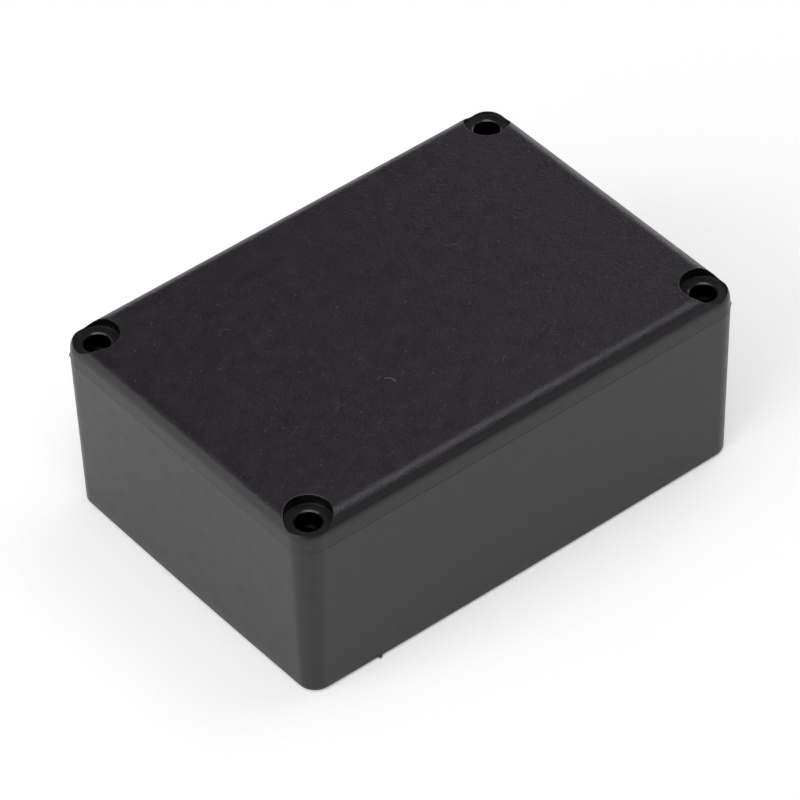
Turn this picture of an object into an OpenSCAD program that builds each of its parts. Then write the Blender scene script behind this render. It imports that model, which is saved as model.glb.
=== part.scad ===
// Small moulded project box: a tapered base with four screw posts, and a lid
// with recessed screw holes that laps into the rim of the base. Millimetres,
// +Z up, origin at the centre of the underside, length along X.

/* [Outside] */
// Length of the closed box, measured at the seam
box_l = 50; // [40:1:120]
// Width of the closed box, measured at the seam
box_w = 35; // [32:1:90]
// Height of the closed box
box_h = 20; // [14:0.5:45]
// Radius of the upright corners of the base, at the foot
foot_corner_r = 1.8; // [1.4:0.1:4]
// Radius of the edge round the underside
foot_edge_r = 0.5; // [0.2:0.1:1]
// Taper of the base walls, inside and out, in degrees from upright
base_draft = 1.25; // [0.5:0.25:3]

/* [Walls] */
// Thickness of the side walls of base and lid
wall_t = 1.5; // [1.3:0.1:2.2]
// Thickness of the floor of the base
floor_t = 1.5; // [1.3:0.1:3]
// Thickness of the flat top of the lid
roof_t = 1.5; // [1:0.1:1.8]
// Radius of the upright corners of the cavity, at the floor
cavity_corner_r = 0.6; // [0.5:0.1:2]
// Radius of the edge round the cavity floor
cavity_edge_r = 0.4; // [0.2:0.1:0.5]

/* [Lid] */
// Height of the lid above its rim
lid_h = 2.6; // [2.2:0.1:5]
// Radius that rolls the sides of the lid into its top
lid_edge_r = 1.6; // [0.5:0.1:1.9]
// Taper of the lid sides, in degrees from upright
lid_draft = 3; // [0.5:0.5:5]

/* [Seam] */
// Open line that shows between the rim of the base and the rim of the lid
seam_gap = 0.1; // [0.05:0.05:0.4]
// How far the lip of the lid reaches below its rim
lip_h = 1.2; // [0.8:0.1:2.5]
// Thickness of the lip
lip_t = 0.6; // [0.4:0.05:0.8]
// Bevel on the leading edge of the lip
lip_bevel = 0.2; // [0.05:0.05:0.3]
// Clearance between the lip and the wall it slides inside
lip_side_clear = 0.1; // [0.05:0.05:0.3]
// Clearance under the lip and at its ends
lip_end_clear = 0.25; // [0.1:0.05:0.6]

/* [Screw posts] */
// Distance from the outside faces, at the seam, to the screw axes
screw_inset = 2.4; // [2.3:0.1:4]
// Diameter of the posts in the base and of the pads under the lid
post_d = 5; // [4:0.1:6]
// Diameter of the pilot hole down each post
pilot_d = 1.8; // [1.2:0.1:2.2]
// Height above the underside at which the pilot holes stop
pilot_stop = 5.4; // [2:0.2:8]
// Bevel round the mouth of each pilot hole, in posts and standoffs
pilot_bevel = 0.2; // [0.05:0.05:0.3]
// Diameter of the screw holes through the lid
screw_hole_d = 2.5; // [2.3:0.1:3.2]
// Bevel round the mouth of each screw hole, at the floor of its recess
hole_bevel = 0.1; // [0.05:0.05:0.2]
// Diameter of the recess for each screw head
recess_d = 4.3; // [3.6:0.1:4.5]
// Depth of the recess for each screw head
recess_depth = 1.1; // [0.4:0.1:1.6]

/* [Board standoffs] */
// Distance from the end faces, at the seam, to the standoff axes
standoff_inset_x = 10; // [8:0.5:14]
// Distance from the side faces, at the seam, to the standoff axes
standoff_inset_y = 7.5; // [6:0.5:12]
// Diameter of the standoffs
standoff_d = 3.6; // [3:0.1:4.5]
// Height of the standoffs above the floor
standoff_h = 3; // [2:0.25:6]
// Diameter of the pilot hole in each standoff
standoff_pilot_d = 1.6; // [1:0.1:2]
// Height above the underside at which the standoff holes stop
standoff_pilot_stop = 1; // [0.6:0.1:1.5]

/* [Hidden] */
$fn = 64;

// Extra length that lets a cut pass clean through a face
over = 0.5;

// Rounds a worked-out length to a thousandth, so that shapes drawn apart meet
// exactly
function snap(x) = round(x * 1000) / 1000;

lid_rim_z = box_h - lid_h;
base_h = lid_rim_z - seam_gap;

// How far the walls spread between their narrow and their wide end
base_flare = snap(base_h * tan(base_draft));
cavity_flare = snap((base_h - floor_t) * tan(base_draft));
lid_flare = snap((lid_h - lid_edge_r) * tan(lid_draft));

seam_corner_r = foot_corner_r + base_flare;
lid_roll_r = min(lid_edge_r, seam_corner_r - lid_flare);

lip_inset = wall_t - lip_t;
rebate_z = lid_rim_z - lip_h - lip_end_clear;
post_reach = screw_inset + post_d / 2;

// Colours of the two mouldings, the lid darker for its grained top
base_colour = [0.22, 0.22, 0.225];
lid_colour = [0.16, 0.155, 0.165];

// Copies the children into each corner, at these distances from the outside
// faces at the seam
module in_corners(inset_x, inset_y)
  for (sx = [-1, 1], sy = [-1, 1])
    translate([sx * (box_l / 2 - inset_x), sy * (box_w / 2 - inset_y)])
      children();

module at_screws() in_corners(screw_inset, screw_inset) children();

module at_standoffs() in_corners(standoff_inset_x, standoff_inset_y) children();

// Round hole up from foot, with a bevel round its mouth
module bore(d, foot, mouth, bevel)
  rotate_extrude()
    polygon([
      [0, foot],
      [d / 2, foot],
      [d / 2, mouth - bevel],
      [d / 2 + bevel + over, mouth + over],
      [0, mouth + over]
    ]);

// Flat outline of the box at the seam, drawn in by inset all round
module seam_outline(inset) {
  r = max(seam_corner_r - inset, 0.2);
  l = box_l - 2 * inset;
  w = box_w - 2 * inset;
  square([l - 2 * r, w], center = true);
  square([l, w - 2 * r], center = true);
  for (sx = [-1, 1], sy = [-1, 1])
    translate([sx * (l / 2 - r), sy * (w / 2 - r)])
      circle(r);
}

// Block with tapered walls that stands on its narrow end, l by w there with
// upright corners of radius r. It spreads by flare over its height h, and its
// lower edge is rounded by edge_r. One half section makes the crossing prisms
// and the corners, so the sides and corners meet without a step.
module tapered_block(l, w, r, h, flare, edge_r) {
  rotate([90, 0, 90])
    linear_extrude(l - 2 * r, center = true)
      full_section(w / 2, h, flare, edge_r);
  rotate([90, 0, 0])
    linear_extrude(w - 2 * r, center = true)
      full_section(l / 2, h, flare, edge_r);
  for (left = [0, 1], front = [0, 1])
    mirror([left, 0, 0])
      mirror([0, front, 0])
        translate([l / 2 - r, w / 2 - r])
          rotate_extrude(angle = 90)
            half_section(r, h, flare, edge_r);
}

module full_section(a, h, flare, edge_r) {
  half_section(a, h, flare, edge_r);
  mirror([1, 0]) half_section(a, h, flare, edge_r);
}

// Half section from the middle out to a at the narrow end, a + flare at the
// wide end
module half_section(a, h, flare, edge_r) {
  polygon([
    [0, 0],
    [a - edge_r, 0],
    [a - edge_r, edge_r],
    [a, edge_r],
    [a + flare, h],
    [0, h]
  ]);
  translate([a - edge_r, edge_r])
    intersection() {
      circle(edge_r);
      translate([0, -edge_r]) square(edge_r);
    }
}

// Base without its holes: the posts are what the cavity leaves standing, and
// their heads rise past the rim by the seam gap, so that they alone carry the
// lid
module base_shell()
  difference() {
    union() {
      tapered_block(
        box_l - 2 * base_flare, box_w - 2 * base_flare, foot_corner_r,
        base_h, base_flare, foot_edge_r
      );
      translate([0, 0, base_h - over])
        linear_extrude(over + seam_gap)
          seam_outline(lip_inset);
    }
    difference() {
      cavity();
      at_screws() cylinder(h = box_h, d = post_d);
    }
  }

// Hollow of the base, its walls parallel to the outside ones, with the
// rebate for the lip round its mouth
module cavity() {
  inset = wall_t + cavity_flare;
  translate([0, 0, floor_t])
    tapered_block(
      box_l - 2 * inset, box_w - 2 * inset, cavity_corner_r,
      base_h - floor_t, cavity_flare, cavity_edge_r
    );
  translate([0, 0, rebate_z])
    linear_extrude(lid_rim_z - rebate_z + over)
      seam_outline(lip_inset - lip_side_clear);
}

module base()
  color(base_colour)
    difference() {
      union() {
        base_shell();
        at_standoffs() cylinder(h = floor_t + standoff_h, d = standoff_d);
      }
      at_screws() bore(pilot_d, pilot_stop, lid_rim_z, pilot_bevel);
      at_standoffs()
        bore(
          standoff_pilot_d, standoff_pilot_stop, floor_t + standoff_h,
          pilot_bevel
        );
    }

// Outside of the lid, which stands on its wide end
module lid_block()
  translate([0, 0, lid_h])
    mirror([0, 0, 1])
      tapered_block(
        box_l - 2 * lid_flare, box_w - 2 * lid_flare, seam_corner_r - lid_flare,
        lid_h, lid_flare, lid_roll_r
      );

// Hollow under the lid, leaving a pad over each post
module lid_hollow()
  translate([0, 0, -over])
    linear_extrude(over + lid_h - roof_t)
      difference() {
        seam_outline(wall_t);
        at_screws() circle(d = post_d);
      }

// One straight run of the lip, along X and centred, facing -Y
module lip_run(length)
  rotate([90, 0, 90])
    linear_extrude(length, center = true)
      polygon([
        [0, over],
        [0, lip_bevel - lip_h],
        [lip_bevel, -lip_h],
        [lip_t, -lip_h],
        [lip_t, over]
      ]);

// Four runs of lip between the posts
module lip()
  for (turn = [0, 1]) {
    rotate(turn * 180) {
      translate([0, lip_inset - box_w / 2, 0])
        lip_run(box_l - 2 * (post_reach + lip_end_clear));
      rotate(90)
        translate([0, lip_inset - box_l / 2, 0])
          lip_run(box_w - 2 * (post_reach + lip_end_clear));
    }
  }

module lid()
  color(lid_colour)
    translate([0, 0, lid_rim_z])
      difference() {
        union() {
          difference() {
            lid_block();
            lid_hollow();
          }
          lip();
        }
        at_screws() {
          bore(screw_hole_d, -over, lid_h - recess_depth, hole_bevel);
          translate([0, 0, lid_h - recess_depth]) cylinder(h = lid_h, d = recess_d);
        }
      }

base();
lid();
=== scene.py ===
"""Looks of a small moulded project box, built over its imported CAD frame.

The base and the lid are each one closed skin, worked out from the sizes of the
solids, with the fine rounds on their edges and the small marks that moulding
leaves. Lengths in the classes are millimetres and angles are degrees.
"""

import logging
import math
from dataclasses import dataclass, field
from enum import Enum

import bmesh
import bpy
import numpy as np
from mathutils import Matrix, Vector


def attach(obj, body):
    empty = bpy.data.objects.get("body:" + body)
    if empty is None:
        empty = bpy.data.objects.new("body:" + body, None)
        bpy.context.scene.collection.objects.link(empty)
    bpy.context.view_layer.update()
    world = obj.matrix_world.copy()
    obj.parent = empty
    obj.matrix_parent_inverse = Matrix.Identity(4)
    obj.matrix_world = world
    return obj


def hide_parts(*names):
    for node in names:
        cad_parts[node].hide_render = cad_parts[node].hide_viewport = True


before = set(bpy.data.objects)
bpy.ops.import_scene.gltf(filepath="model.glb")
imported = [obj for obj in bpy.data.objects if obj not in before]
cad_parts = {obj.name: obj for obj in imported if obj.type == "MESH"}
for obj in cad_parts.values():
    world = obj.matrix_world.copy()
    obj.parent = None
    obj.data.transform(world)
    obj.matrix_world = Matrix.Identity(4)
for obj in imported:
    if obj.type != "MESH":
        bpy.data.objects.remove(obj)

Array = np.ndarray
MM = 0.001
LOG = logging.getLogger("project_box")


# ---------------------------------------------------------------- mesh kit


class Turn(Enum):
    """Which way round the faces of a patch run."""

    AS_GIVEN = 1
    REVERSED = -1


class Patchwork:
    """Patches of surface in millimetres, welded at the end to one mesh."""

    sharp_from = 32.0

    def __init__(self) -> None:
        """Starts with no patches."""
        self.points: list[Array] = []
        self.faces: list[list[int]] = []
        self.count = 0

    def _keep(self, points: Array) -> int:
        """Keeps points and gives the number of the first one.

        Args:
            points: Rows of x, y, z.

        Returns:
            The index of the first kept point.
        """
        first = self.count
        self.points.append(points.reshape(-1, 3))
        self.count += len(self.points[-1])
        return first

    def grid(self, points: Array, closed: bool = False, turn: Turn = Turn.AS_GIVEN) -> None:
        """Adds a grid of points as four-sided faces.

        Each face joins a point, the next in its row, and the two above them.

        Args:
            points: Grid of shape rows, columns, 3.
            closed: Whether the last column joins the first.
            turn: Which way round the faces run.
        """
        rows, cols = points.shape[:2]
        first = self._keep(points)
        r, c = np.meshgrid(np.arange(rows - 1), np.arange(cols if closed else cols - 1), indexing="ij")
        near, far = (r * cols + c).ravel(), (r * cols + (c + 1) % cols).ravel()
        quads = first + np.stack([near, far, far + cols, near + cols], axis=1)
        self.faces += quads[:, :: turn.value].tolist()

    def cap(self, loop: Array, turn: Turn = Turn.AS_GIVEN) -> None:
        """Adds one flat face round a loop.

        Args:
            loop: Points round the face.
            turn: Which way round it runs.
        """
        first = self._keep(loop)
        self.faces.append(list(range(first, first + len(loop)))[:: turn.value])

    def soup(self, points: Array, triangles: Array) -> None:
        """Adds triangles that share points.

        Args:
            points: Rows of x, y, z.
            triangles: Rows of three point numbers.
        """
        self.faces += (self._keep(points) + triangles).tolist()

    def mesh(self, name: str) -> bpy.types.Object:
        """Welds the patches and makes the object.

        Args:
            name: Name of the object and its mesh.

        Returns:
            The new object, linked to the scene.
        """
        data = bpy.data.meshes.new(name)
        data.from_pydata((np.concatenate(self.points) * MM).tolist(), [], self.faces)
        work = bmesh.new()
        work.from_mesh(data)
        bmesh.ops.remove_doubles(work, verts=work.verts[:], dist=1e-6)
        work.to_mesh(data)
        work.free()
        data.polygons.foreach_set("use_smooth", np.ones(len(data.polygons), bool))
        data.set_sharp_from_angle(angle=math.radians(self.sharp_from))
        made = bpy.data.objects.new(name, data)
        bpy.context.scene.collection.objects.link(made)
        return made


def lift(plan: Array, z: Array | float) -> Array:
    """Joins flat points and heights.

    Args:
        plan: Points with x and y last.
        z: Height of each, or one height.

    Returns:
        Points with x, y and z last.
    """
    return np.concatenate([plan, np.broadcast_to(np.asarray(z, float)[..., None], plan.shape[:-1] + (1,))], axis=-1)


def solid_mesh(node: bpy.types.Object) -> tuple[Array, Array]:
    """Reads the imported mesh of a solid.

    Args:
        node: The solid's object.

    Returns:
        Its points in millimetres and its triangles as point numbers.
    """
    points = np.zeros(len(node.data.vertices) * 3)
    node.data.vertices.foreach_get("co", points)
    node.data.calc_loop_triangles()
    triangles = np.zeros(len(node.data.loop_triangles) * 3, int)
    node.data.loop_triangles.foreach_get("vertices", triangles)
    return points.reshape(-1, 3) / MM, triangles.reshape(-1, 3)


def quarter(count: int, start: float = 0.0) -> Array:
    """Angles in radians from start degrees to a right angle, in count steps."""
    return np.radians(np.linspace(start, 90.0, count + 1))


# ---------------------------------------------------------------- shapes


@dataclass(frozen=True)
class Plan:
    """Plan of the box at its seam: a rectangle with rounded corners.

    A place on the outline is an anchor on the rectangle of corner centres and
    the direction out from it, so the outline drawn in by any depth is the
    anchor plus that direction times the corner radius less the depth.
    """

    length: float = 50.0
    width: float = 35.0
    corner_r: float = 2.177
    cell: float = 5.6
    pad_end: float = 4.732
    arc_steps: int = 20
    long_steps: int = 30
    short_steps: int = 22

    def side_samples(self, half: float, steps: int) -> Array:
        """Places along one straight side, from corner centre to corner centre.

        Args:
            half: Half the outside size across which the side runs.
            steps: Number of steps between the two corner cells.

        Returns:
            Signed distances from the middle of the side.
        """
        near = np.concatenate([
            np.linspace(half - self.cell, half - self.pad_end, 4)[:-1],
            np.linspace(half - self.pad_end, half - self.corner_r, 13),
        ])
        return np.concatenate([-near[::-1], np.linspace(self.cell - half, half - self.cell, steps + 1)[1:-1], near])

    def columns(self) -> tuple[Array, Array]:
        """Anchors and outward directions once round, against the clock.

        Returns:
            Two arrays of x and y, the anchors and the directions.
        """
        lx, ly = self.length / 2 - self.corner_r, self.width / 2 - self.corner_r
        anchors, outward = [], []
        for turn in range(4):
            angle = math.pi / 2 * turn
            out = np.array([math.cos(angle), math.sin(angle)])
            along = np.array([-out[1], out[0]])
            reach, run = (lx, ly) if turn % 2 == 0 else (ly, lx)
            steps = self.short_steps if turn % 2 == 0 else self.long_steps
            s = self.side_samples(run + self.corner_r, steps)[:, None]
            anchors.append(out * reach + along * s)
            outward.append(np.broadcast_to(out, (len(s), 2)))
            sweep = angle + np.linspace(0, math.pi / 2, self.arc_steps + 1)[1:-1]
            anchors.append(np.broadcast_to(out * reach + along * run, (len(sweep), 2)))
            outward.append(np.stack([np.cos(sweep), np.sin(sweep)], axis=1))
        return np.concatenate(anchors), np.concatenate(outward)

    def rings(self, depth: Array, z: Array) -> Array:
        """Closed rings round the box, one for each depth and height.

        Args:
            depth: How far each ring is drawn in, one for each ring, or one
                for each ring and column.
            z: Height of each ring.

        Returns:
            Grid of rings, columns, 3.
        """
        anchors, outward = self.columns()
        reach = self.corner_r - np.atleast_2d(np.asarray(depth, float).T).T
        plan = anchors[None] + outward[None] * (reach * np.ones((1, len(anchors))))[..., None]
        return lift(plan, np.asarray(z, float)[:, None] * np.ones((1, len(anchors))))

    def depth_at(self, corner: Array) -> Array:
        """How far inside the outline a point near a corner lies.

        It is the smaller distance to the two sides, and within the rounded
        corner it is the corner radius less the distance to its centre.

        Args:
            corner: Points as distances from the end face and the long face.

        Returns:
            The depth of each point.
        """
        short = self.corner_r - corner
        return np.where(
            (short > 0).all(axis=-1), self.corner_r - np.hypot(short[..., 0], short[..., 1]), corner.min(axis=-1)
        )

    def depth_of(self, points: Array) -> Array:
        """How far inside the outline points of the box lie."""
        return self.depth_at(np.array([self.length, self.width]) / 2 - np.abs(points[:, :2]))

    def draw_in(self, points: Array, chosen: Array, depth: float) -> Array:
        """Moves points straight across the outline to one depth.

        The nearest anchor is the point clamped to the rectangle of corner
        centres, and the way out runs from it through the point.

        Args:
            points: Rows of x, y, z.
            chosen: Which of them move.
            depth: How far inside the outline they end.

        Returns:
            The points with the chosen ones moved.
        """
        half = np.array([self.length, self.width]) / 2 - self.corner_r
        flat = points[chosen, :2]
        anchor = np.clip(flat, -half, half)
        out = (flat - anchor) / np.linalg.norm(flat - anchor, axis=1, keepdims=True)
        moved = points.copy()
        moved[chosen, :2] = anchor + out * (self.corner_r - depth)
        return moved

    def place(self, corner: Array, sign: tuple[int, int]) -> Array:
        """Points near one corner, moved to their place on the box.

        Args:
            corner: Points as distances from the end face and long face, with
                height last.
            sign: Which end and which side, as -1 or 1.

        Returns:
            The points as x, y, z.
        """
        return np.stack([
            sign[0] * (self.length / 2 - corner[..., 0]), sign[1] * (self.width / 2 - corner[..., 1]), corner[..., 2]
        ], axis=-1)


CORNERS = [(-1, -1), (1, -1), (1, 1), (-1, 1)]


def spread(points: Array, count: int, first_ring: float) -> Array:
    """Spaces points evenly along each of many lines.

    The length along every line is summed, and the lines are laid end to end so
    that one interpolation finds the even places on all of them.

    Args:
        points: Dense points of shape lines, samples, 3.
        count: Number of even steps on each line.
        first_ring: Length of an extra short step at the start.

    Returns:
        For each line, the sample numbers of the even places, as fractions.
    """
    step = np.linalg.norm(np.diff(points, axis=1), axis=2)
    total = np.concatenate([np.zeros((len(points), 1)), np.cumsum(step, axis=1)], axis=1)
    share = np.linspace(0, 1, count + 1)[None] * np.ones((len(points), 1))
    length = total[:, -1:]
    wanted = np.concatenate([share[:, :1] * length, np.full_like(length, first_ring), share[:, 1:] * length], axis=1)
    lane = np.arange(len(points))[:, None] * (length.max() + 1)
    samples = np.arange(points.shape[1])[None] + np.arange(len(points))[:, None] * points.shape[1]
    found = np.interp((wanted + lane).ravel(), (total + lane).ravel(), samples.ravel().astype(float))
    return found.reshape(wanted.shape) - np.arange(len(points))[:, None] * points.shape[1]


@dataclass
class Lid:
    """The lid: a shallow tray upside down, rolled into its flat top."""

    plan: Plan = field(default_factory=Plan)
    rim_z: float = 17.4
    top_z: float = 20.0
    roll_r: float = 1.6
    draft: float = 3.0
    rim_round: float = 0.02
    rim_drop: float = 0.085
    collar: float = 0.15
    screw_inset: float = 2.4
    recess_r: float = 2.15
    recess_z: float = 18.9
    recess_round: float = 0.07
    recess_fillet: float = 0.02
    hole_r: float = 1.25
    hole_bevel: float = 0.15
    bevel_depth: float = 0.12
    wall_t: float = 1.5
    pad_r: float = 2.5
    ceiling_z: float = 18.5
    flash_reach: float = 0.12

    @property
    def underside(self) -> float:
        """Depth at which the skin meets the flat underside of the rim."""
        return self.rim_round + 0.05

    @property
    def roll_z(self) -> float:
        """Height of the axis of the roll."""
        return self.top_z - self.roll_r

    @property
    def roll_depth(self) -> float:
        """Depth of the axis of the roll, for a roll tangent to the side."""
        slope = math.radians(self.draft)
        return (self.roll_r + (self.roll_z - self.rim_z) * math.sin(slope)) / math.cos(slope)

    def height_at(self, depth: Array) -> Array:
        """Height of the outside over a depth: side, then roll, then flat top.

        Args:
            depth: How far inside the outline.

        Returns:
            The height of the surface there.
        """
        slope = math.radians(self.draft)
        start = self.roll_depth - self.roll_r * math.cos(slope)
        inside = np.clip(self.roll_depth - depth, 0, self.roll_r)
        roll = self.roll_z + np.sqrt(self.roll_r**2 - inside**2)
        return np.where(depth < start, self.rim_z + depth / math.tan(slope), roll)

    def side_rings(self) -> tuple[Array, Array]:
        """Depths and heights from the underside up to the collar.

        Returns:
            The depth and height of each ring.
        """
        slope = math.radians(self.draft)
        r, foot = self.rim_round, self.rim_z - self.rim_drop
        under = quarter(4)
        depth = r * (1 - np.sin(under))
        z = foot + r * (1 - np.cos(under))
        side_z = np.linspace(foot + r + 0.03, self.roll_z + self.roll_r * math.sin(slope), 7)
        side = (side_z - self.rim_z) * math.tan(slope)
        last = math.acos((self.roll_depth - self.collar) / self.roll_r)
        turn = np.linspace(slope, last, 6)[1:]
        return (
            np.concatenate([[self.underside, self.underside], depth, side.clip(0), self.roll_depth - self.roll_r * np.cos(turn)]),
            np.concatenate([[self.rim_z, foot], z, side_z, self.roll_z + self.roll_r * np.sin(turn)]),
        )

    def crown_samples(self) -> Array:
        """Depths from the collar over the roll to the end of a corner cell."""
        first = math.degrees(math.acos((self.roll_depth - self.collar) / self.roll_r))
        roll = self.roll_depth - self.roll_r * np.cos(quarter(15, first))
        flat = self.roll_depth + (self.plan.cell - self.roll_depth) * np.linspace(0, 1, 9)[1:] ** 1.4
        return np.concatenate([roll, flat])

    def skirt(self, work: Patchwork) -> None:
        """Adds the side of the lid, from its underside edge to the collar.

        Args:
            work: The patches of the lid.
        """
        depth, z = self.side_rings()
        _, outward = self.plan.columns()
        angle = np.degrees(np.arctan2(outward[:, 1], outward[:, 0]))
        proud = sum(np.exp(-(((angle - a) / 9.0) ** 2)) for a in (-37.95, 142.05))
        band = np.exp(-(((z - self.rim_z - 0.12) / 0.1) ** 2))
        work.grid(self.plan.rings(depth[:, None] - self.flash_reach * band[:, None] * proud[None], z), closed=True)

    def crown(self, work: Patchwork) -> None:
        """Adds the roll along the four sides and the flat panel between them.

        Args:
            work: The patches of the lid.
        """
        plan, depth = self.plan, self.crown_samples()
        z = self.height_at(depth)
        for axis, half, across, steps in (
            (0, plan.length / 2, plan.width / 2, plan.long_steps), (1, plan.width / 2, plan.length / 2, plan.short_steps)
        ):
            s = np.linspace(plan.cell - half, half - plan.cell, steps + 1)
            for sign in (-1, 1):
                along, out = np.meshgrid(s, sign * (across - depth))
                pair = [along, out] if axis == 0 else [out, along]
                turn = Turn.AS_GIVEN if (axis == 0) == (sign < 0) else Turn.REVERSED
                work.grid(np.stack([*pair, z[:, None] * np.ones((1, len(s)))], axis=-1), turn=turn)
        x = np.linspace(plan.cell - plan.length / 2, plan.length / 2 - plan.cell, plan.long_steps + 1)
        y = np.linspace(plan.cell - plan.width / 2, plan.width / 2 - plan.cell, plan.short_steps + 1)
        flat = np.stack(np.meshgrid(x, y), axis=-1)
        work.grid(lift(flat, self.top_z))

    def cell_loop(self) -> Array:
        """Outer loop of a corner cell: the collar, then the two cell borders.

        Returns:
            Points as distances from the end face and the long face.
        """
        plan, crown = self.plan, self.crown_samples()
        half = plan.length / 2
        side = plan.side_samples(half, plan.long_steps)
        near = half - side[side >= half - plan.cell - 1e-9]
        sweep = -math.pi / 2 - np.linspace(0, math.pi / 2, plan.arc_steps + 1)[1:-1]
        reach = plan.corner_r - self.collar
        arc = plan.corner_r + reach * np.stack([np.cos(sweep), np.sin(sweep)], axis=1)
        return np.concatenate([
            np.stack([near, np.full_like(near, self.collar)], axis=1),
            arc,
            np.stack([np.full_like(near, self.collar), near[::-1]], axis=1),
            np.stack([crown[1:], np.full(len(crown) - 1, plan.cell)], axis=1),
            np.stack([np.full(len(crown) - 2, plan.cell), crown[::-1][1:-1]], axis=1),
        ])

    def corner(self, work: Patchwork) -> None:
        """Adds the four corner cells with their recesses and screw holes.

        Straight lines run in plan from the outer loop of the cell to the rim
        of the recess, evenly spaced along the surface; the same columns then
        go down round the rim, the recess wall, its floor and the hole.

        Args:
            work: The patches of the lid.
        """
        centre = np.full(2, self.screw_inset)
        loop = self.cell_loop()
        ray = (loop - centre) / np.linalg.norm(loop - centre, axis=1, keepdims=True)
        rim = centre + ray * (self.recess_r + self.recess_round)
        t = np.linspace(0, 1, 900)[None, :, None]
        dense = rim[:, None] * (1 - t) + loop[:, None] * t
        dense = lift(dense, self.height_at(self.plan.depth_at(dense)))
        at = spread(dense, 22, 0.04)[..., None] / 899
        flat = rim[:, None] * (1 - at) + loop[:, None] * at
        land = lift(flat, self.height_at(self.plan.depth_at(flat))).transpose(1, 0, 2)
        rim_z = land[0, :, 2]
        radius, z = self.recess_rows(rim_z)
        well = lift(centre + ray[None] * radius[..., None], z)
        cell = np.concatenate([well[::-1], land[1:]])
        for sign in CORNERS:
            turn = Turn.AS_GIVEN if sign[0] * sign[1] > 0 else Turn.REVERSED
            work.grid(self.plan.place(cell, sign), closed=True, turn=turn)

    def recess_rows(self, rim_z: Array) -> tuple[Array, Array]:
        """Radii and heights of the rows from the rim down to the hole's foot.

        Args:
            rim_z: Height of the surface at the rim, for each column.

        Returns:
            Radius and height, each of shape rows, columns.
        """
        ones = np.ones_like(rim_z)
        edge, foot = quarter(4), quarter(3)
        e, f, bevel = self.recess_round, self.recess_fillet, np.linspace(0, 1, 3)
        outer, inner = self.recess_r - f, self.hole_r + self.hole_bevel
        low = self.recess_z + f
        radius = np.concatenate([
            self.recess_r + e * (1 - np.sin(edge)), [self.recess_r] * 3, self.recess_r - f * (1 - np.cos(foot)),
            outer - (outer - inner) * np.array([0.05, 0.5, 0.97]), inner - self.hole_bevel * bevel, [self.hole_r] * 3,
        ])
        z = np.concatenate([
            rim_z - e * (1 - np.cos(edge))[:, None],
            [rim_z - e - 0.04, 0.5 * (rim_z - e + low), (low + 0.03) * ones],
            (self.recess_z + f * (1 - np.sin(foot)))[:, None] * ones,
            np.full((3, 1), self.recess_z) * ones,
            (self.recess_z - self.bevel_depth * bevel)[:, None] * ones,
            np.array([self.recess_z - self.bevel_depth - 0.05, 0.5 * (self.recess_z + self.rim_z), self.rim_z])[:, None] * ones,
        ])
        return radius[:, None] * ones, z

    def inside(self, work: Patchwork, solid: bpy.types.Object) -> None:
        """Adds the lip, the pads and the hollow as the solid has them.

        A triangle of the solid is left out where all its corners are on the
        skin: above the ceiling, close to the outline or on a screw hole, and
        not all on the underside. The underside's outer edge is drawn in to
        the first ring of the skin.

        Args:
            work: The patches of the lid.
            solid: The lid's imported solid.
        """
        points, triangles = solid_mesh(solid)
        depth, z = self.plan.depth_of(points), points[:, 2]
        screw = np.array([self.plan.length, self.plan.width]) / 2 - self.screw_inset
        from_screw = np.linalg.norm(np.abs(points[:, :2]) - screw, axis=1)
        high, under = z > self.ceiling_z + 0.05, z < self.rim_z + 0.01
        edge = high | (depth < 0.3)
        hole = high | (np.abs(from_screw - self.hole_r) < 0.02)
        skin = edge[triangles].all(axis=1) | hole[triangles].all(axis=1)
        kept = triangles[~skin | under[triangles].all(axis=1)]
        work.soup(self.plan.draw_in(points, under & (depth < 0.02), self.underside), kept)

    def build(self, solid: bpy.types.Object) -> bpy.types.Object:
        """Makes the lid as one object.

        Args:
            solid: The lid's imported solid.

        Returns:
            The lid's object.
        """
        work = Patchwork()
        self.skirt(work)
        self.crown(work)
        self.corner(work)
        self.inside(work, solid)
        return work.mesh("lid_moulding")


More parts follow.
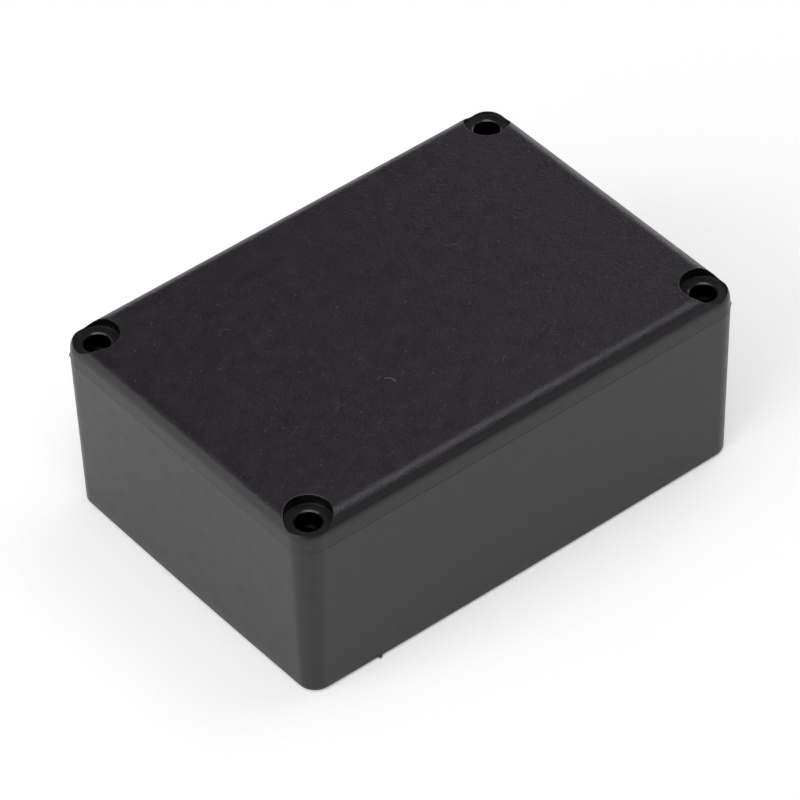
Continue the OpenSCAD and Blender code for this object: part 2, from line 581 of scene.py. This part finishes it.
@dataclass
class Base:
    """The base: a deep tapered tray with four screw posts."""

    plan: Plan = field(default_factory=Plan)
    rim_z: float = 17.3
    foot_depth: float = 0.377
    foot_r: float = 0.5
    rim_round: float = 0.03
    bow: float = 0.1
    burr_at: tuple[float, float, float] = (-16.92, -17.1, 0.19)
    burr_size: tuple[float, float, float] = (0.22, 0.2, 0.12)

    def outside_rings(self) -> tuple[Array, Array]:
        """Depths and heights from the flat of the foot up to the rim.

        Returns:
            The depth and height of each ring.
        """
        lean = math.degrees(math.atan2(self.foot_depth, self.rim_z - self.foot_r))
        foot = quarter(8, lean)[::-1]
        depth = self.foot_depth + self.foot_r * (1 - np.cos(foot))
        z = self.foot_r * (1 - np.sin(foot))
        wall_z = np.linspace(z[-1], self.rim_z - self.rim_round - 0.03, 14)[1:]
        wall = self.foot_depth * (self.rim_z - wall_z) / (self.rim_z - self.foot_r)
        edge = quarter(5)
        r = self.rim_round
        return (
            np.concatenate([[depth[0] + 0.06], depth, wall, r * (1 - np.cos(edge)), [r + 0.05]]),
            np.concatenate([[0], z, wall_z, self.rim_z - r * (1 - np.sin(edge)), [self.rim_z]]),
        )

    def inside(self, work: Patchwork, solid: bpy.types.Object) -> None:
        """Adds the rim, the posts and the hollow as the solid has them.

        A triangle of the solid is left out where all its corners are on the
        skin, close to the outline or down at the foot, and not all on the
        rim. The rim's outer edge is drawn in to the last ring of the skin.

        Args:
            work: The patches of the base.
            solid: The base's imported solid.
        """
        points, triangles = solid_mesh(solid)
        depth, z = self.plan.depth_of(points), points[:, 2]
        rim = z > self.rim_z - 0.01
        skin = (depth < 0.6) | (z < self.foot_r + 0.01)
        kept = triangles[~skin[triangles].all(axis=1) | rim[triangles].all(axis=1)]
        work.soup(self.plan.draw_in(points, rim & (depth < 0.02), self.rim_round + 0.05), kept)

    def skirt(self, work: Patchwork) -> None:
        """Adds the outside, bellied a little towards the foot, and the underside.

        The belly is greatest at the middle of each side and falls off with
        the square of the distance from it.

        Args:
            work: The patches of the base.
        """
        depth, z = self.outside_rings()
        anchors, outward = self.plan.columns()
        half = np.array([self.plan.length, self.plan.width]) / 2 - self.plan.corner_r
        share = np.abs(anchors) / half
        along = np.where(np.abs(outward[:, 0]) > np.abs(outward[:, 1]), share[:, 1], share[:, 0])
        belly = self.bow * (1 - along**2)[None] * np.clip(1 - z / self.rim_z, 0, 1)[:, None]
        rings = self.plan.rings(depth[:, None] - belly, z)
        work.grid(rings, closed=True)
        work.cap(rings[0], Turn.REVERSED)

    def burr(self, work: Patchwork) -> None:
        """Adds the speck of flash left on the lower front edge.

        It is a closed egg whose radius swells and shrinks with sines of both
        angles, so that it is ragged.

        Args:
            work: The patches of the base.
        """
        polar, turn = np.meshgrid(np.linspace(0, math.pi, 9), np.linspace(0, 2 * math.pi, 15)[:-1], indexing="ij")
        swell = 1 + 0.22 * np.sin(3 * turn + 1.0) * np.sin(polar) ** 2 + 0.12 * np.sin(5 * turn) * np.sin(2 * polar)
        ball = np.stack([np.sin(polar) * np.cos(turn), np.sin(polar) * np.sin(turn), -np.cos(polar)], axis=-1)
        work.grid(np.array(self.burr_at) + np.array(self.burr_size) * ball * swell[..., None], closed=True)

    def build(self, solid: bpy.types.Object) -> bpy.types.Object:
        """Makes the base as one object.

        Args:
            solid: The base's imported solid.

        Returns:
            The base's object.
        """
        work = Patchwork()
        self.skirt(work)
        self.burr(work)
        self.inside(work, solid)
        return work.mesh("base_moulding")


# ---------------------------------------------------------------- finishes


class Wiring:
    """A node tree with short ways to add and join nodes."""

    def __init__(self, tree: bpy.types.NodeTree) -> None:
        """Starts on an empty tree.

        Args:
            tree: The node tree of a material, a world or a group.
        """
        self.tree = tree
        tree.nodes.clear()

    def add(self, kind: str, settings: dict | None = None, **inputs: object) -> bpy.types.Node:
        """Adds a node, sets it up and feeds its inputs.

        Args:
            kind: Type of the node, without the leading ShaderNode.
            settings: Properties of the node.
            inputs: Values or output sockets by input name, with _ for spaces,
                or by number as i0, i1 and so on.

        Returns:
            The new node.
        """
        node = self.tree.nodes.new(kind if kind.startswith("Node") else "ShaderNode" + kind)
        for name, value in (settings or {}).items():
            setattr(node, name, value)
        for name, value in inputs.items():
            spoken = name.replace("_", " ")
            socket = node.inputs[int(name[1:])] if name[0] == "i" and name[1:].isdigit() else node.inputs[spoken]
            if isinstance(value, bpy.types.NodeSocket):
                self.tree.links.new(value, socket)
            else:
                socket.default_value = value
        return node

    def math(self, operation: str, *values: object, clamp: bool = False) -> bpy.types.NodeSocket:
        """Adds a Math node.

        Args:
            operation: The node's operation.
            values: Its inputs in order.
            clamp: Whether the result is kept from 0 to 1.

        Returns:
            Its output socket.
        """
        inputs = {f"i{n}": v for n, v in enumerate(values)}
        return self.add("Math", {"operation": operation, "use_clamp": clamp}, **inputs).outputs[0]

    def ramp(self, value: object, low: float, high: float, to_low: float = 0.0, to_high: float = 1.0) -> bpy.types.NodeSocket:
        """Adds a smooth Map Range node, which stops at its ends.

        Args:
            value: What is mapped.
            low: Value that gives to_low.
            high: Value that gives to_high.
            to_low: Result at the low end.
            to_high: Result at the high end.

        Returns:
            Its output socket.
        """
        settings = {"interpolation_type": "SMOOTHSTEP"}
        return self.add("MapRange", settings, i0=value, i1=low, i2=high, i3=to_low, i4=to_high).outputs[0]

    def mix(self, share: object, a: object, b: object) -> bpy.types.NodeSocket:
        """Adds a colour Mix node.

        Args:
            share: How much of b.
            a: First colour.
            b: Second colour.

        Returns:
            Its output socket.
        """
        node = self.add("Mix", {"data_type": "RGBA"}, i0=share, i6=a, i7=b)
        return node.outputs[2]


def new_group(name: str, inputs: dict[str, str], outputs: tuple[str, ...]) -> bpy.types.NodeTree:
    """Starts a shader node group.

    Args:
        name: Name of the group.
        inputs: Type of each input socket by name, without NodeSocket.
        outputs: Names of the output values.

    Returns:
        The group, with no nodes in it yet.
    """
    group = bpy.data.node_groups.new(name, "ShaderNodeTree")
    for label, kind in inputs.items():
        group.interface.new_socket(label, in_out="INPUT", socket_type="NodeSocket" + kind)
    for label in outputs:
        group.interface.new_socket(label, in_out="OUTPUT", socket_type="NodeSocketFloat")
    return group


def spark_texture() -> bpy.types.NodeTree:
    """Builds the group for a spark-eroded mould face.

    Two sizes of fine noise give the height. A broad, faint noise gives the
    cloudiness, and small spots in a few cells of a Voronoi pattern give
    painted glints: spots where the colour is made lighter.

    Returns:
        The group, with Vector and Grain Size inputs and Height, Painted Glint
        and Cloud outputs.
    """
    group = new_group("spark_texture", {"Vector": "Vector", "Grain Size": "Float"}, ("Height", "Painted Glint", "Cloud"))
    w = Wiring(group)
    source = w.add("NodeGroupInput").outputs
    density = w.math("DIVIDE", 1.0, source["Grain Size"])
    coarse = w.add("TexNoise", Vector=source["Vector"], Scale=w.math("MULTIPLY", density, 0.4), Detail=1.0)
    fine = w.add("TexNoise", Vector=source["Vector"], Scale=density, Detail=2.0)
    height = w.math("ADD", w.math("MULTIPLY", coarse.outputs[0], 0.5), w.math("MULTIPLY", fine.outputs[0], 0.5))
    painted_glint = None
    # Painted glints: rare Voronoi spots that lighten the colour, standing in for sparkle.
    for scale, rare, radius in ((0.28, 0.8, 0.22), (0.6, 0.6, 0.28)):
        cells = w.add("TexVoronoi", Vector=source["Vector"], Scale=w.math("MULTIPLY", density, scale))
        spot = w.ramp(cells.outputs["Distance"], radius * 0.5, radius, 1.0, 0.0)
        chosen = w.ramp(w.add("SeparateColor", Color=cells.outputs["Color"]).outputs[0], rare, 1.0)
        lit = w.math("MULTIPLY", spot, chosen)
        painted_glint = lit if painted_glint is None else w.math("ADD", painted_glint, w.math("MULTIPLY", lit, 0.5))
    cloud = w.add("TexNoise", Vector=source["Vector"], Scale=w.math("MULTIPLY", density, 0.09), Detail=3.0)
    out = w.add("NodeGroupOutput")
    for label, value in (("Height", height), ("Painted Glint", painted_glint), ("Cloud", cloud.outputs[0])):
        group.links.new(value, out.inputs[label])
    return group


@dataclass(frozen=True)
class Fibre:
    """A fine fibre of dust, an arc that lies on the flat of the lid."""

    centre: tuple[float, float]
    radius: float
    start: float
    sweep: float
    strength: float = 1.0


FIBRES = (
    Fibre((-7.15, -6.95), 0.75, -20, 95),
    Fibre((-7.22, -6.30), 0.42, 62, 80, 0.5),
    Fibre((9.5, 4.6), 1.1, 200, 70, 0.4),
    Fibre((-14.0, 7.3), 0.8, 30, 80, 0.35),
    Fibre((3.2, -11.8), 0.9, 95, 60, 0.4),
)

SPECKS = (
    ((-24.8, 0.45, 9.65), 0.14, 0.8),
    ((-19.75, -17.4, 16.95), 0.12, 0.9),
    ((-19.35, -17.4, 17.0), 0.09, 0.6),
    ((-24.0, -17.0, 18.35), 0.1, 0.9),
    ((-24.0, -17.05, 18.1), 0.1, 0.9),
    ((6.0, -17.3, 8.0), 0.08, 0.35),
)


def dust() -> bpy.types.NodeTree:
    """Builds the group for the few fibres and specks that lie on the box.

    A fibre is where the distance from its centre is close to its radius, for
    directions within its sweep. A speck is a small soft ball.

    Returns:
        The group, with a Vector input and a Dust output.
    """
    group = new_group("dust", {"Vector": "Vector"}, ("Dust",))
    w = Wiring(group)
    vector = w.add("NodeGroupInput").outputs["Vector"]
    parts = []
    for fibre in FIBRES:
        centre = (fibre.centre[0] * MM, fibre.centre[1] * MM, 20 * MM)
        away = w.add("VectorMath", {"operation": "SUBTRACT"}, i0=vector, i1=centre).outputs[0]
        distance = w.add("VectorMath", {"operation": "LENGTH"}, i0=away).outputs["Value"]
        off = w.math("ABSOLUTE", w.math("SUBTRACT", distance, fibre.radius * MM))
        line = w.ramp(off, 0.01 * MM, 0.055 * MM, fibre.strength, 0.0)
        middle = math.radians(fibre.start + fibre.sweep / 2)
        facing = w.add("VectorMath", {"operation": "DOT_PRODUCT"}, i0=away, i1=(math.cos(middle), math.sin(middle), 0.0))
        share = w.math("DIVIDE", facing.outputs["Value"], distance)
        edge = math.cos(math.radians(fibre.sweep / 2))
        parts.append(w.math("MULTIPLY", line, w.ramp(share, edge - 0.02, edge + 0.04)))
    for place, radius, strength in SPECKS:
        spot = tuple(v * MM for v in place)
        away = w.add("VectorMath", {"operation": "DISTANCE"}, i0=vector, i1=spot).outputs["Value"]
        parts.append(w.ramp(away, 0.4 * radius * MM, radius * MM, strength, 0.0))
    total = parts[0]
    for part in parts[1:]:
        total = w.math("MAXIMUM", total, part)
    group.links.new(total, w.add("NodeGroupOutput").inputs["Dust"])
    return group


@dataclass(frozen=True)
class MouldedPlastic:
    """Black moulded plastic, smooth on its sides and spark-textured on top.

    The texture starts at a height. The screw holes and the recess walls
    carry painted shade: darker in colour and made metallic. Painted glints
    lighten spots on the textured top, and a painted reflection of the floor
    lightens a band along the lower edge of the foot.
    """

    name: str
    colour: tuple[float, float, float]
    top_colour: tuple[float, float, float]
    texture_from_z: float
    texture_to_z: float
    side_roughness: float = 0.32
    top_roughness: float = 0.37
    grain_size: float = 0.00013
    grain_depth: float = 0.00006
    ior: float = 1.54

    def painted_hole_shade(self, w: Wiring, place: bpy.types.NodeSocket) -> bpy.types.NodeSocket:
        """Masks the walls of the screw holes.

        The corners are folded together, and the mask is 1 within a little
        over the hole's radius of the screw axis and below the recess floor,
        and 0.7 on the wall of the recess. The mask sets painted shade there:
        a near-black colour, and metal, so their reflections are dark too.

        Args:
            w: The material's wiring.
            place: Object coordinates.

        Returns:
            The mask.
        """
        folded = w.add("VectorMath", {"operation": "ABSOLUTE"}, i0=place).outputs[0]
        flat = w.add("VectorMath", {"operation": "MULTIPLY"}, i0=folded, i1=(1.0, 1.0, 0.0)).outputs[0]
        axis = (22.6 * MM, 15.1 * MM, 0.0)
        distance = w.add("VectorMath", {"operation": "DISTANCE"}, i0=flat, i1=axis).outputs["Value"]
        height = w.add("SeparateXYZ", Vector=place).outputs[2]
        below = w.ramp(height, 18.76 * MM, 18.8 * MM, 1.0, 0.0)
        below = w.math("MULTIPLY", below, w.ramp(height, 5.0 * MM, 5.2 * MM))
        hole = w.math("MULTIPLY", w.ramp(distance, 1.27 * MM, 1.31 * MM, 1.0, 0.0), below)
        band = w.math("MULTIPLY", w.ramp(height, 18.93 * MM, 19.2 * MM), w.ramp(height, 19.8 * MM, 19.92 * MM, 1.0, 0.0))
        wall = w.math("MULTIPLY", w.ramp(distance, 2.16 * MM, 2.18 * MM, 0.7, 0.0), band)
        return w.math("ADD", hole, wall)

    def make(self, spark: bpy.types.NodeTree, specks: bpy.types.NodeTree) -> bpy.types.Material:
        """Builds the material.

        Args:
            spark: The group for the spark-eroded texture.
            specks: The group for dust.

        Returns:
            The material.
        """
        made = bpy.data.materials.new(self.name)
        made.use_nodes = True
        w = Wiring(made.node_tree)
        place = w.add("TexCoord").outputs["Object"]
        height = w.add("SeparateXYZ", Vector=place).outputs[2]
        top = w.ramp(height, self.texture_from_z * MM, self.texture_to_z * MM)
        painted_shade = self.painted_hole_shade(w, place)
        grain = w.add("Group", {"node_tree": spark}, Vector=place, Grain_Size=self.grain_size).outputs
        colour = w.mix(top, (*self.colour, 1), (*self.top_colour, 1))
        # Painted shade: the screw holes and the recess walls are darkened in colour, and the same mask makes them
        # metallic below.
        colour = w.mix(painted_shade, colour, (0.003, 0.003, 0.003, 1))
        # Painted glints: sparse spots on the textured top are lightened in colour.
        colour = w.mix(w.math("MULTIPLY", grain["Painted Glint"], top, clamp=True), colour, (0.07, 0.068, 0.072, 1))
        # Painted reflection of the floor: a lighter band, broken up by the grain, from 0.02 to 0.42 mm above the
        # floor along the round of the foot.
        painted_foot_reflection = w.math("MULTIPLY", w.ramp(height, 0.02 * MM, 0.1 * MM), w.ramp(height, 0.12 * MM, 0.42 * MM, 1.0, 0.0))
        painted_foot_reflection = w.math("MULTIPLY", painted_foot_reflection, w.ramp(grain["Height"], 0.35, 0.65, 0.4, 1.0))
        colour = w.mix(painted_foot_reflection, colour, (0.062, 0.062, 0.063, 1))
        lint = w.add("Group", {"node_tree": specks}, Vector=place).outputs["Dust"]
        colour = w.mix(lint, colour, (0.14, 0.138, 0.14, 1))
        cloudy = w.math("MULTIPLY", w.math("SUBTRACT", grain["Cloud"], 0.5), 0.2)
        rough = w.math("ADD", w.ramp(top, 0.0, 1.0, self.side_roughness, self.top_roughness), cloudy)
        bump = w.add("Bump", Height=w.math("MULTIPLY", grain["Height"], top), Strength=1.0, Distance=self.grain_depth)
        shader = w.add("BsdfPrincipled", Base_Color=colour, Metallic=painted_shade, Roughness=rough, IOR=self.ior, Normal=bump.outputs[0])
        w.add("OutputMaterial", Surface=shader.outputs[0])
        return made


# ---------------------------------------------------------------- studio


@dataclass(frozen=True)
class Softbox:
    """A soft lamp that faces the box.

    Its place is an azimuth from +X towards +Y, an elevation and a distance in
    metres; its size is in metres and its power in watts.
    """

    name: str
    azimuth: float
    elevation: float
    distance: float
    size: tuple[float, float]
    power: float

    def place(self) -> None:
        """Adds the lamp as an area light."""
        az, el = math.radians(self.azimuth), math.radians(self.elevation)
        spot = Vector((math.cos(az) * math.cos(el), math.sin(az) * math.cos(el), math.sin(el))) * self.distance
        data = bpy.data.lights.new(self.name, "AREA")
        data.shape = "RECTANGLE"
        data.size, data.size_y = self.size
        data.energy = self.power
        made = bpy.data.objects.new(self.name, data)
        made.location = spot
        made.rotation_mode = "QUATERNION"
        made.rotation_quaternion = (spot - Vector((0, 0, 0.01))).to_track_quat("Z", "Y")
        bpy.context.scene.collection.objects.link(made)


SOFTBOXES = (
    Softbox("overhead", -128, 88, 0.6, (0.6, 0.6), 0.324),
    Softbox("front_fill", -128, 62, 0.65, (0.45, 0.35), 1.387),
    Softbox("left_side", 185, 35, 0.5, (0.4, 0.3), 1.0),
    Softbox("left_low", 170, 14, 0.5, (0.4, 0.15), 0.3),
    Softbox("left_fill", 150, 62, 0.65, (0.4, 0.35), 0.055),
    Softbox("left_strip", 135, 14, 0.28, (0.3, 0.12), 0.07),
    Softbox("right_fill", 0, 60, 0.65, (0.35, 0.3), 0.119),
    Softbox("right_high", 15, 68, 0.65, (0.3, 0.3), 0.098),
    Softbox("right_strip", 15, 14, 0.28, (0.3, 0.12), 0.185),
    Softbox("right_mid", 35, 25, 0.6, (0.4, 0.2), 0.087),
    Softbox("edge_strip", -14, 62, 0.65, (0.3, 0.1), 0.33),
    Softbox("front_low", -45, 22, 0.6, (0.5, 0.25), 0.22),
    Softbox("back_high", 52, 80, 0.6, (0.4, 0.3), 0.353),
    Softbox("back_low", 75, 8, 0.6, (0.5, 0.15), 0.448),
)


@dataclass
class Studio:
    """Pale floor, soft lights and the camera."""

    azimuth: float = -37.95
    elevation: float = 42.52
    roll: float = -1.91
    distance: float = 503.0
    lens: float = 250.5
    aim: tuple[float, float, float] = (0.0, 0.0, 10.0)
    slide: tuple[float, float] = (-0.305, -0.816)
    glow: float = 0.165
    paper_white: float = 0.16
    room_light: float = 0.01

    def camera(self) -> None:
        """Places the camera on its line of sight, turned by its roll."""
        az, el, roll = (math.radians(v) for v in (self.azimuth, self.elevation, self.roll))
        back = Vector((math.sin(az) * math.cos(el), -math.cos(az) * math.cos(el), math.sin(el)))
        right = Vector((math.cos(az), math.sin(az), 0.0))
        up = back.cross(right)
        right, up = math.cos(roll) * right + math.sin(roll) * up, math.cos(roll) * up - math.sin(roll) * right
        place = Vector(self.aim) + back * self.distance
        target = Vector(self.aim) + right * self.slide[0] + up * self.slide[1]
        ahead = (target - place).normalized()
        side = ahead.cross(up).normalized()
        top = side.cross(ahead)
        data = bpy.data.cameras.new("camera")
        data.lens, data.sensor_width = self.lens, 36.0
        data.clip_start, data.clip_end = 0.05, 20.0
        made = bpy.data.objects.new("camera", data)
        turned = Matrix((side, top, -ahead)).transposed().to_4x4()
        made.matrix_world = Matrix.Translation(place * MM) @ turned
        bpy.context.scene.collection.objects.link(made)
        bpy.context.scene.camera = made

    def floor(self) -> None:
        """Lays the floor, white to the camera and to reflections."""
        work = Patchwork()
        work.cap(np.array([[-3000, -3000, -0.02], [3000, -3000, -0.02], [3000, 3000, -0.02], [-3000, 3000, -0.02]], float))
        made = work.mesh("floor")
        paper = bpy.data.materials.new("paper")
        paper.use_nodes = True
        w = Wiring(paper.node_tree)
        path = w.add("LightPath").outputs
        seen = w.math("MAXIMUM", w.math("MAXIMUM", path["Is Camera Ray"], path["Is Glossy Ray"]), path["Is Transmission Ray"])
        strength = w.math("ADD", w.math("MULTIPLY", seen, self.glow), w.math("MULTIPLY", path["Is Camera Ray"], self.paper_white))
        glow = w.add("Emission", Color=(1, 1, 1, 1), Strength=strength)
        matt = w.add("BsdfDiffuse", Color=(0.8, 0.8, 0.8, 1))
        both = w.add("AddShader", i0=glow.outputs[0], i1=matt.outputs[0])
        w.add("OutputMaterial", Surface=both.outputs[0])
        made.data.materials.append(paper)

    def world(self) -> None:
        """Sets the soft room light, white where the camera sees past the floor."""
        room = bpy.data.worlds.new("room")
        room.use_nodes = True
        bpy.context.scene.world = room
        w = Wiring(room.node_tree)
        seen = w.add("LightPath").outputs["Is Camera Ray"]
        shade = w.add("Background", Color=(1, 1, 1, 1), Strength=w.ramp(seen, 0.0, 1.0, self.room_light, 1.0))
        w.add("OutputWorld", Surface=shade.outputs[0])

    def build(self) -> None:
        """Sets the whole studio."""
        self.camera()
        self.floor()
        self.world()
        for lamp in SOFTBOXES:
            lamp.place()
        bpy.context.scene.view_settings.view_transform = "Standard"


def main() -> None:
    """Builds the studio and the two mouldings, and reports each piece."""
    logging.basicConfig(level=logging.INFO, format="%(message)s")
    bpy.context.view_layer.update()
    Studio().build()
    spark, specks = spark_texture(), dust()
    lid_finish = MouldedPlastic("lid_plastic", (0.010, 0.010, 0.0103), (0.0088, 0.0060, 0.0098), 19.3, 19.6)
    base_finish = MouldedPlastic("base_plastic", (0.010, 0.010, 0.0103), (0.010, 0.010, 0.0103), 50.0, 51.0)
    for shape, node, finish in ((Base(), "base", base_finish), (Lid(), "lid", lid_finish)):
        piece = shape.build(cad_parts[node])
        piece.data.materials.append(finish.make(spark, specks))
        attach(piece, "root")
        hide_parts(node)
        LOG.info("%s: %d faces", piece.name, len(piece.data.polygons))


if __name__ == "__main__":
    main()
